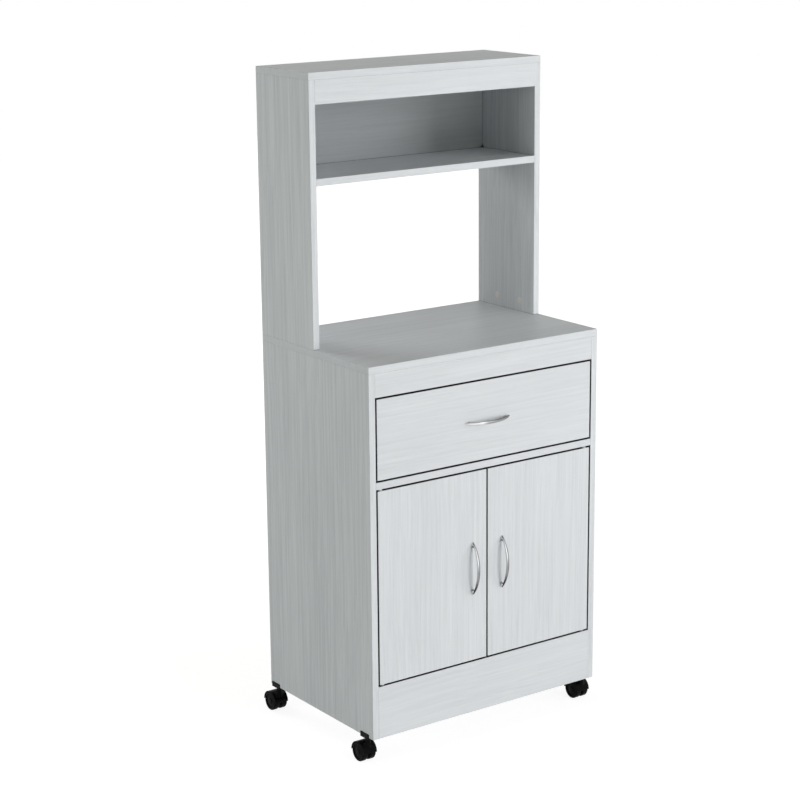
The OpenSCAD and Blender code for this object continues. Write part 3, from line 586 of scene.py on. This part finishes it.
bow_tree, size = start_tree("bow handle", {
    "Length": (number_kind, 0.117), "Stand Out": (number_kind, 0.024),
    "Width": (number_kind, 0.007), "Thickness": (number_kind, 0.004),
    "Outer Radius": (number_kind, 0.092), "Inner Radius": (number_kind, 0.098),
    "Pitch": (number_kind, 0.097), "Foot Radius": (number_kind, 0.0015),
    "Foot Height": (number_kind, 0.0085), "Glint From": (number_kind, -0.9),
    "Glint To": (number_kind, -0.05), "Glint": (number_kind, 0.22),
    "Dark Flank": (number_kind, 0.85), "Dark End": (number_kind, 1.0),
    "Dark Start": (number_kind, 1.0), "Place": ("NodeSocketVector", (0, 0, 0)),
    "Turn": (number_kind, 0.0), "Material": ("NodeSocketMaterial", None)})
grid_along, grid_around = 97, 29
tip_power = 20
narrowing_power, narrowing_share = 3, 0.5
t = bow_tree
grid = add(t, "GeometryNodeMeshGrid", {"Size X": 1, "Size Y": 1, "Vertices X": grid_along,
                                       "Vertices Y": grid_around})
spot = add(t, "ShaderNodeSeparateXYZ", {0: add(t, "GeometryNodeInputPosition").outputs[0]})
share = calc(t, "SINE", calc(t, "MULTIPLY", spot.outputs[0], math.pi))
around = calc(t, "MULTIPLY", spot.outputs[1], 2 * math.pi)
along = calc(t, "MULTIPLY", share, calc(t, "DIVIDE", size["Length"], 2))
outer = arc_height(t, along, size["Outer Radius"], size["Stand Out"])
inner = arc_height(t, along, size["Inner Radius"],
                   calc(t, "SUBTRACT", size["Stand Out"], size["Thickness"]))
to_tip = calc(t, "ABSOLUTE", share)
tip_round = calc(t, "SQRT", calc(t, "SUBTRACT", 1, calc(t, "POWER", to_tip, tip_power)))
narrowing = calc(t, "MULTIPLY_ADD", calc(t, "POWER", to_tip, narrowing_power),
                 -narrowing_share, 1)
half_wide = calc(t, "MULTIPLY", calc(t, "MULTIPLY", calc(t, "DIVIDE", size["Width"], 2), narrowing),
                 tip_round)
half_thick = calc(t, "MULTIPLY", calc(t, "DIVIDE", calc(t, "SUBTRACT", outer, inner), 2), tip_round)
middle = calc(t, "DIVIDE", calc(t, "ADD", outer, inner), 2)
out = calc(t, "MULTIPLY_ADD", calc(t, "COSINE", around), half_thick, middle)
side = calc(t, "MULTIPLY", calc(t, "SINE", around), half_wide)
forward = calc(t, "MULTIPLY", out, -1)
bent = add(t, "ShaderNodeCombineXYZ", {0: along, 1: forward, 2: side}).outputs[0]
print("the bow's own part of the tree has", len(t.nodes), "nodes")

# %% [markdown]
# A bright bar in a white room shows a dark flank, dark ends and one bright streak. Here these
# reflections are painted into the metal's colour, at places set by the bow's form alone, so they are
# worked out on the flat grid and stored with each point as a number. This has to come before the
# points move, since a field that reads the position gives other values afterwards.

# %% Store the painted reflections and bend the bow
# Painted reflections: a dark flank, dark ends and a bright streak become one number per point that
# later darkens or brightens the metal's colour.
turned_away = remap(t, calc(t, "SINE", around), -0.1, 0.65, 0.0, 1.0)
flank = calc(t, "MULTIPLY", turned_away, size["Dark Flank"])
far_end = calc(t, "MULTIPLY", remap(t, share, 0.35, 0.7, 0.0, 1.0), size["Dark End"])
near_tip = calc(t, "MULTIPLY", remap(t, share, -0.88, -0.98, 0.0, 1.0), size["Dark Start"])
painted_dark_reflection = calc(t, "MAXIMUM", calc(t, "MAXIMUM", flank, far_end), near_tip)
fade = 0.12
glint_in = remap(t, calc(t, "SUBTRACT", share, size["Glint From"]), -fade, fade, 0.0, 1.0)
glint_out = remap(t, calc(t, "SUBTRACT", share, size["Glint To"]), -fade, fade, 1.0, 0.0)
glint = calc(t, "MULTIPLY", calc(t, "MULTIPLY", glint_in, glint_out), size["Glint"])
lit_share = calc(t, "SUBTRACT", 1, painted_dark_reflection)
shine = calc(t, "SUBTRACT", calc(t, "MULTIPLY", glint, lit_share), painted_dark_reflection)
toned = add(t, "GeometryNodeStoreNamedAttribute", {"Geometry": grid.outputs[0], "Name": "shine",
            "Value": shine}, data_type="FLOAT", domain="POINT").outputs[0]
bow = add(t, "GeometryNodeSetPosition", {"Geometry": toned, "Position": bent}).outputs[0]
bow = add(t, "GeometryNodeMergeByDistance", {"Geometry": bow, "Distance": 0.002 * mm}).outputs[0]
print("with its tones the tree has", len(t.nodes), "nodes")

# %% [markdown]
# Two slim feet carry the bow. Each is a short line with a round profile that flares a little where
# it meets the front.

# %% Add the feet and close the tree
foot_flare, flare_power = 0.16, 6
foot_rings, foot_sides = 12, 28
feet = []
for end in (-0.5, 0.5):
    foot_x = calc(t, "MULTIPLY", size["Pitch"], end)
    low = add(t, "ShaderNodeCombineXYZ", {0: foot_x}).outputs[0]
    foot_y = calc(t, "MULTIPLY", size["Foot Height"], -1)
    high = add(t, "ShaderNodeCombineXYZ", {0: foot_x, 1: foot_y}).outputs[0]
    line = add(t, "GeometryNodeCurvePrimitiveLine", {"Start": low, "End": high}).outputs[0]
    line = add(t, "GeometryNodeResampleCurve", {"Curve": line, "Count": foot_rings}).outputs[0]
    rise = add(t, "GeometryNodeSplineParameter").outputs["Factor"]
    widening = calc(t, "POWER", calc(t, "SUBTRACT", 1, rise), flare_power)
    flare = calc(t, "MULTIPLY_ADD", widening, foot_flare, 1)
    line = add(t, "GeometryNodeSetCurveRadius", {"Curve": line, "Radius": flare}).outputs[0]
    ring = add(t, "GeometryNodeCurvePrimitiveCircle", {"Resolution": foot_sides,
                                                       "Radius": size["Foot Radius"]})
    reach = add(t, "GeometryNodeInputRadius").outputs[0]
    feet.append(add(t, "GeometryNodeCurveToMesh", {"Curve": line, "Profile Curve": ring.outputs[0],
                    "Scale": reach, "Fill Caps": True}).outputs[0])
whole = add(t, "GeometryNodeJoinGeometry")
for part in (feet[1], feet[0], bow):
    t.links.new(part, whole.inputs[0])
turned = add(t, "ShaderNodeCombineXYZ", {1: size["Turn"]}).outputs[0]
placed = add(t, "GeometryNodeTransform", {"Geometry": whole.outputs[0], "Rotation": turned,
                                          "Translation": size["Place"]}).outputs[0]
smooth = add(t, "GeometryNodeSetShadeSmooth", {"Geometry": placed}).outputs[0]
end_tree(t, smooth, size["Material"])
print("the bow handle tree has", len(t.nodes), "nodes")

# %% [markdown]
# One tree makes all three handles. The drawer's lies flat and gets its painted highlight and painted
# dark reflections in other places than the two upright ones, so it gets other inputs. Last, the faces
# of each mesh are turned outward.

# %% Make the three handles
lying = {"Turn": 0.0, "Glint From": -1.1, "Glint To": -0.35, "Glint": 0.9, "Dark Flank": 0.5,
         "Dark End": 0.35, "Dark Start": 0.0}
upright = {"Turn": math.pi / 2}
handles = {"drawer_handle": lying, "left_door_handle": upright, "right_door_handle": upright}
for node, way in handles.items():
    low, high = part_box(node)
    place = Vector(((low.x + high.x) / 2, high.y, (low.z + high.z) / 2))
    mesh = grown(node + "_bow", bow_tree, {**way, "Place": place, "Material": materials["nickel"]})
    fixed = bmesh.new()
    fixed.from_mesh(mesh)
    bmesh.ops.recalc_face_normals(fixed, faces=fixed.faces)
    fixed.to_mesh(mesh)
    fixed.free()
    as_piece(node + "_bow", mesh, body_of_node[node], [node])
    print(node, "at", [round(c, 4) for c in place], "with", len(mesh.polygons), "faces")

# %% [markdown]
# A satin metal shows little of its own colour, mostly what it reflects, and the four lamps are
# hidden from reflections. The handles get one broad lamp of their own, linked to them alone, which
# draws the soft glint along their upper half.

# %% A lamp for the glint of the handles
glint_lamp = soft_lamp("glint lamp", 16, 10, 6.0, 4.0, 120)
shiny = bpy.data.collections.new("lit by the glint lamp")
glint_lamp.light_linking.receiver_collection = shiny
for piece in bpy.data.objects:
    if piece.name.endswith("_bow"):
        shiny.objects.link(piece)

# %% [markdown]
# ## Twin-wheel casters
# Each caster has a saddle on the side's lower edge, a half-round hood that swivels under it, and
# two wheels that mostly hide inside the hood. Everything on a caster is black. A wheel is a turned
# shape, so its outline is written once as points and spun round the axle. The hood and the saddle
# are moulded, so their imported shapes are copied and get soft, rounded edges.

# %% Helpers for turned shapes
def turned_shape(name, outline, centre, side, steps, material):
    """Spins (distance from the middle, radius) points round an axle that runs along X."""
    shape = bmesh.new()
    rings = []
    for step in range(steps):
        angle = 2 * math.pi * step / steps
        rings.append([shape.verts.new((centre[0] + side * x, centre[1] + r * math.cos(angle),
                                       centre[2] + r * math.sin(angle))) for x, r in outline])
    for a, b in zip(rings, rings[1:] + rings[:1]):
        for i in range(len(outline)):
            j = (i + 1) % len(outline)
            shape.faces.new((a[i], a[j], b[j], b[i]))
    bmesh.ops.remove_doubles(shape, verts=shape.verts, dist=weld)
    bmesh.ops.dissolve_degenerate(shape, edges=shape.edges, dist=weld)
    bmesh.ops.recalc_face_normals(shape, faces=shape.faces)
    mesh = bpy.data.meshes.new(name)
    shape.to_mesh(mesh)
    shape.free()
    for face in mesh.polygons:
        face.use_smooth = True
    mesh.set_sharp_from_angle(angle=crease_angle)
    mesh.materials.append(material)
    return mesh


def arc_points(centre, radius, first, last, count):
    """Points on an arc in the plane of the outline, angles in degrees."""
    angles = [math.radians(first + (last - first) * i / (count - 1)) for i in range(count)]
    return [(centre[0] + radius * math.cos(a), centre[1] + radius * math.sin(a)) for a in angles]


print("helpers:", turned_shape.__name__, arc_points.__name__)

# %% [markdown]
# The wheel's outline runs from the bore up the inner face, over the two round shoulders of the
# tread, and back down the outer face with its rim groove and hub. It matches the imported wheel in
# its radius and its width.

# %% Turn the eight wheels
axle_z = 21 * mm
wheel_in, wheel_out = 2.6 * mm, 17.0 * mm
wheel_r = 21 * mm
bore_r = 2.55 * mm
wheel_steps = 72
shoulder = 3 * mm
inner_shoulder = 3.4 * mm
wheel_outline = (
    [(wheel_in, bore_r), (wheel_in, wheel_r - inner_shoulder - 0.3 * mm)]
    + arc_points((wheel_in + inner_shoulder, wheel_r - inner_shoulder), inner_shoulder, 172, 90, 8)
    + arc_points((wheel_out - shoulder, wheel_r - shoulder), shoulder, 90, 0, 9)
    + [(wheel_out, 16.6 * mm), (wheel_out - 0.5 * mm, 16.1 * mm), (wheel_out - 1.9 * mm, 15.6 * mm),
       (wheel_out - 2.0 * mm, 15.0 * mm), (wheel_out - 1.7 * mm, 12.4 * mm),
       (wheel_out - 1.2 * mm, 12.1 * mm), (wheel_out - 1.2 * mm, 11.3 * mm),
       (wheel_out - 1.6 * mm, 11.0 * mm), (wheel_out - 1.2 * mm, 7.6 * mm),
       (wheel_out - 0.5 * mm, 7.0 * mm), (wheel_out - 0.15 * mm, 6.0 * mm),
       (wheel_out - 0.05 * mm, 3.0 * mm), (wheel_out, 0), (wheel_out - 0.95 * mm, 0),
       (wheel_out - 0.95 * mm, bore_r)])
corners = ["front_left", "front_right", "rear_left", "rear_right"]
for corner in corners:
    for letter, side in (("a", -1), ("b", 1)):
        node = f"{corner}_caster_wheel_{letter}"
        low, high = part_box(node)
        middle_x = high.x + wheel_in if side < 0 else low.x - wheel_in
        centre = (middle_x, (low.y + high.y) / 2, axle_z)
        mesh = turned_shape(node + "_turned", wheel_outline, centre, side, wheel_steps,
                            materials["wheel black"])
        as_piece(node + "_turned", mesh, body_of_node[node], [node])
print("turned", 2 * len(corners), "wheels with", len(wheel_outline), "points in the outline")

# %% [markdown]
# Moulded plastic has no sharp corner anywhere, so the hoods and the saddles are softened like the
# boards, with a slightly larger radius.

# %% Soften the hoods and the saddles
for corner in corners:
    for part, radius in (("hood", 0.6 * mm), ("bracket", 0.5 * mm)):
        node = f"{corner}_caster_{part}"
        mesh = softened(node + "_moulded", merged_copy(node), radius, 3, 2.5 * mm,
                        materials["black plastic"])
        as_piece(node + "_moulded", mesh, body_of_node[node], [node])
print("moulded", 2 * len(corners), "caster parts")

# %% [markdown]
# ## Screws and cam locks
# Small zinc screws hold the runners, the catch and the handles, and round cam locks pull the
# boards together. Each head has a cross for the screwdriver. Modelling one and placing copies by
# hand would be slow, so Geometry Nodes grow one head and put it on points. The points are read from
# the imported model: each loose part of a mesh is looked at, and a rod whose one end is wider is a
# screw, with its head at that end. What is neither a screw nor a lock is copied as it is.

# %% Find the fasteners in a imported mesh
def loose_parts(shape):
    """The vertices of a mesh in groups that hang together, in the same order on every run."""
    found, parts = set(), []
    for first in shape.verts:
        if first not in found:
            found.add(first)
            part = [first]
            for vert in part:
                near = [edge.other_vert(vert) for edge in vert.link_edges]
                part.extend(other for other in near if other not in found)
                found.update(near)
            parts.append(part)
    return parts


def rod_like(part):
    """Length, width, axis number, the two end points and the radii at the ends of one part."""
    low = Vector([min(v.co[i] for v in part) for i in range(3)])
    high = Vector([max(v.co[i] for v in part) for i in range(3)])
    size, middle = high - low, (low + high) / 2
    axis = min(range(3), key=lambda i: abs(size[i - 1] - size[i - 2]))
    ends, radii = [], []
    for corner in (low, high):
        end = middle.copy()
        end[axis] = corner[axis]
        ring = [v.co for v in part if abs(v.co[axis] - corner[axis]) < 0.01 * mm]
        ends.append(end)
        radii.append(max((co - end).length for co in ring))
    return size[axis], max(size[i] for i in range(3) if i != axis), axis, ends, radii


counted = merged_copy("fitting_screws")
print("fitting_screws has", len(loose_parts(counted)), "loose parts")
counted.free()

# %% [markdown]
# The head is a half ball or a drum, squeezed to its radius and height. Two thin bars cut the cross
# out of it, a shank goes below, and the whole is put on every point, turned along the point's aim.

# %% The tree of a round head with a cross
head_tree, size = start_tree("cross head", {
    "Head Radius": (number_kind, 0.004), "Head Height": (number_kind, 0.0009),
    "Dome": (number_kind, 1.0), "Shank Radius": (number_kind, 0.002),
    "Shank Length": (number_kind, 0.012), "Cross Length": (number_kind, 0.0042),
    "Cross Width": (number_kind, 0.0009), "Cross Depth": (number_kind, 0.0006),
    "Crossed": (number_kind, 1.0), "Material": ("NodeSocketMaterial", None)})
t = head_tree
ball = add(t, "GeometryNodeMeshUVSphere", {"Segments": 32, "Rings": 24, "Radius": 1}).outputs[0]
drum = add(t, "GeometryNodeMeshCylinder", {"Vertices": 32, "Side Segments": 1, "Radius": 1,
           "Depth": 2}).outputs[0]
domed = calc(t, "GREATER_THAN", size["Dome"], 0.5)
form = add(t, "GeometryNodeSwitch", {"Switch": domed, "False": drum, "True": ball},
           input_type="GEOMETRY").outputs[0]
spot = add(t, "ShaderNodeSeparateXYZ", {0: add(t, "GeometryNodeInputPosition").outputs[0]})
wide = [calc(t, "MULTIPLY", spot.outputs[i], size["Head Radius"]) for i in (0, 1)]
tall = calc(t, "MULTIPLY", calc(t, "MAXIMUM", spot.outputs[2], 0), size["Head Height"])
seated = add(t, "ShaderNodeCombineXYZ", {0: wide[0], 1: wide[1], 2: tall}).outputs[0]
head = add(t, "GeometryNodeSetPosition", {"Geometry": form, "Position": seated}).outputs[0]
head = add(t, "GeometryNodeMergeByDistance", {"Geometry": head, "Distance": weld}).outputs[0]
cutters = []
for long_side, short_side in ((0, 1), (1, 0)):
    cut = add(t, "ShaderNodeCombineXYZ", {
        long_side: size["Cross Length"], short_side: size["Cross Width"],
        2: calc(t, "MULTIPLY", size["Cross Depth"], 2)}).outputs[0]
    bar = add(t, "GeometryNodeMeshCube", {"Size": cut}).outputs[0]
    top = add(t, "ShaderNodeCombineXYZ", {2: size["Head Height"]}).outputs[0]
    moved = add(t, "GeometryNodeTransform", {"Geometry": bar, "Translation": top})
    cutters.append(moved.outputs[0])
crossed = add(t, "GeometryNodeMeshBoolean", {0: head}, operation="DIFFERENCE")
for cutter in cutters:
    t.links.new(cutter, crossed.inputs[1])
cut_wanted = calc(t, "GREATER_THAN", size["Crossed"], 0.5)
finished = add(t, "GeometryNodeSwitch", {"Switch": cut_wanted, "False": head,
               "True": crossed.outputs[0]}, input_type="GEOMETRY").outputs[0]
shank = add(t, "GeometryNodeMeshCylinder", {"Vertices": 24, "Side Segments": 1,
            "Radius": size["Shank Radius"], "Depth": size["Shank Length"]}).outputs[0]
half_down = calc(t, "MULTIPLY", size["Shank Length"], -0.5)
sunk = add(t, "ShaderNodeCombineXYZ", {2: half_down}).outputs[0]
shank = add(t, "GeometryNodeTransform", {"Geometry": shank, "Translation": sunk}).outputs[0]
one = add(t, "GeometryNodeJoinGeometry")
for part in (shank, finished):
    t.links.new(part, one.inputs[0])
aim = add(t, "GeometryNodeInputNamedAttribute", {"Name": "aim"},
          data_type="FLOAT_VECTOR").outputs[0]
facing = add(t, "FunctionNodeAlignRotationToVector", {"Vector": aim}, axis="Z").outputs[0]
given = t.nodes["Group Input"].outputs["Geometry"]
spots = add(t, "GeometryNodeMeshToPoints", {"Mesh": given}).outputs[0]
set_out = add(t, "GeometryNodeInstanceOnPoints", {"Points": spots, "Instance": one.outputs[0],
              "Rotation": facing}).outputs[0]
end_tree(t, set_out, size["Material"])
print("the cross head tree has", len(t.nodes), "nodes")

# %% [markdown]
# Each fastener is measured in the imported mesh. Screws that measure alike share one run of the tree,
# and the measures become its inputs, so every head keeps its real size and place.

# %% Measure the fasteners and grow their heads
def heads_on(name, places, aims, material, values):
    """Heads on points that look along their aims."""
    seed = bpy.data.meshes.new(name + "_points")
    seed.from_pydata(places, [], [])
    towards = seed.attributes.new("aim", "FLOAT_VECTOR", "POINT")
    for item, aim in zip(towards.data, aims):
        item.vector = aim
    return grown(name, head_tree, {**values, "Material": materials[material]}, seed)


def screw_key(part, length, ends, radii):
    """The head's place and aim, and the sizes that make screws alike."""
    top = 0 if radii[0] > radii[1] else 1
    aim = (ends[top] - ends[1 - top]).normalized()
    height = sorted({round((ends[top] - v.co).dot(aim), 6) for v in part})[1]
    sizes = {"Dome": 1.0, "Head Radius": round(radii[top], 5), "Head Height": round(height, 5),
             "Shank Radius": round(radii[1 - top], 5), "Shank Length": round(length - height, 5),
             "Cross Depth": round(min(0.75 * height, 1.2 * mm), 5)}
    return ends[top] - aim * height, aim, tuple(sizes.items())


def lock_key(length, width, axis, ends):
    """The same for a cam lock, which opens inwards, rearwards or downwards."""
    inwards = Vector((-math.copysign(1, ends[0].x), 0, 0))
    aim = (inwards, Vector((0, 1, 0)), Vector((0, 0, -1)))[axis]
    foot = min(ends, key=lambda end: end.dot(aim))
    sizes = {"Dome": 0.0, "Head Radius": round(width / 2, 5), "Head Height": round(length, 5),
             "Shank Radius": 1 * mm, "Shank Length": 0.1 * mm,
             "Cross Length": 0.6 * round(width, 5), "Cross Width": 1.9 * mm,
             "Cross Depth": 2.2 * mm}
    return foot, aim, tuple(sizes.items())


print("helpers:", heads_on.__name__, screw_key.__name__, lock_key.__name__)

# %% [markdown]
# One function dresses a whole node: screws and locks are taken out of the copy and grown again with
# crosses, and whatever else is in the node stays as it was.

# %% Dress the screws
def dressed_fasteners(node):
    """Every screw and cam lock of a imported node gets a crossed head; the rest is copied."""
    shape = merged_copy(node)
    groups, locks = {}, []
    for part in loose_parts(shape):
        length, width, axis, ends, radii = rod_like(part)
        if length > width and abs(radii[0] - radii[1]) > 1 * mm:
            place, aim, key = screw_key(part, length, ends, radii)
        elif length > 0.5 * width and length < width:
            place, aim, key = lock_key(length, width, axis, ends)
            locks.append((place + aim * length, aim))
        else:
            continue
        groups.setdefault(key, []).append((place, aim))
        bmesh.ops.delete(shape, geom=part, context="VERTS")
    left_over = bpy.data.meshes.new(node + "_plain")
    shape.to_mesh(left_over)
    shape.free()
    whole = bmesh.new()
    whole.from_mesh(left_over)
    for key, spots in groups.items():
        whole.from_mesh(heads_on(node, [spot[0] for spot in spots], [spot[1] for spot in spots],
                                 "zinc", dict(key)))
    mesh = bpy.data.meshes.new(node + "_fasteners")
    whole.to_mesh(mesh)
    whole.free()
    mesh.shade_smooth()
    mesh.set_sharp_from_angle(angle=sharp_angle)
    mesh.materials.clear()
    mesh.materials.append(materials["zinc"])
    print(node, "has", sum(map(len, groups.values())), "crossed heads in", len(groups), "sizes")
    return mesh, locks


for node in ("fitting_screws", "drawer_fixings", "left_door_fixings", "right_door_fixings"):
    mesh, _ = dressed_fasteners(node)
    as_piece(node + "_fasteners", mesh, body_of_node[node], [node])

# %% [markdown]
# Cam locks show as round metal discs on the undersides and rear faces. Those that open towards the
# inside of the hutch are hidden under white plastic caps, as on such furniture.

# %% Cam locks and the white caps over those in the hutch's sides
mesh, locks = dressed_fasteners("cam_fittings")
as_piece("cam_fittings_fasteners", mesh, body_of_node["cam_fittings"], ["cam_fittings"])
deck_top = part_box("base_deck")[1].z
capped = [(place, aim) for place, aim in locks if abs(aim.x) > 0.5 and place.z > deck_top]
caps = heads_on("cam_caps", [place for place, _ in capped], [aim for _, aim in capped],
                "white plastic",
                {"Dome": 1.0, "Crossed": 0.0, "Head Radius": 8.6 * mm, "Head Height": 0.7 * mm,
                 "Shank Radius": 3 * mm, "Shank Length": 0.1 * mm})
caps.shade_smooth()
as_piece("cam_caps", caps, body_of_node["cam_fittings"])
print(len(locks), "cam locks, of which", len(capped), "wear a white cap")

# %% [markdown]
# Pressed steel is bent and not cut, and a plastic catch is moulded, so both have small round edges.

# %% Round the pressed steel of the runners and the moulded catch
for node, finish, slot in (("cabinet_runners", "runner enamel", "runner_steel"),
                           ("drawer_runners", "runner enamel", "runner_steel"),
                           ("door_catch", "white plastic", "nylon")):
    mesh = softened(node + "_rounded", merged_copy(node), 0.25 * mm, 2, 5 * mm, materials[finish])
    as_piece(node + "_rounded", mesh, body_of_node[node], [node])
    print("rounded", node, "with", len(mesh.polygons), "faces")

# %% [markdown]
# ## The small parts
# Rollers, pins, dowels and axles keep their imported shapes. Each gets the finish of the record's
# material slot that it belongs to, and the two hardboards get a white face on the side that shows.

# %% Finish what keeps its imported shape
finish_of_node = {"base_back": "hardboard back", "drawer_bottom": "hardboard drawer bottom"}
finish_of_slot = {
    "white_board": "laminate cross grain", "zinc_steel": "zinc",
    "runner_steel": "runner enamel", "beech": "beech", "nylon": "white plastic", "nickel": "nickel",
    "caster_black": "black plastic", "wheel_black": "wheel black", "axle_steel": "axle steel",
}
slot_of_node = {part["node"]: part["material_slot"] for part in frame["record"]["subparts"]}
for node, packed in frame["nodes"].items():
    if not packed.hide_render:
        finish = finish_of_node.get(node) or finish_of_slot[slot_of_node[node]]
        packed.data.materials.clear()
        packed.data.materials.append(materials[finish])
        print(node, "->", finish)
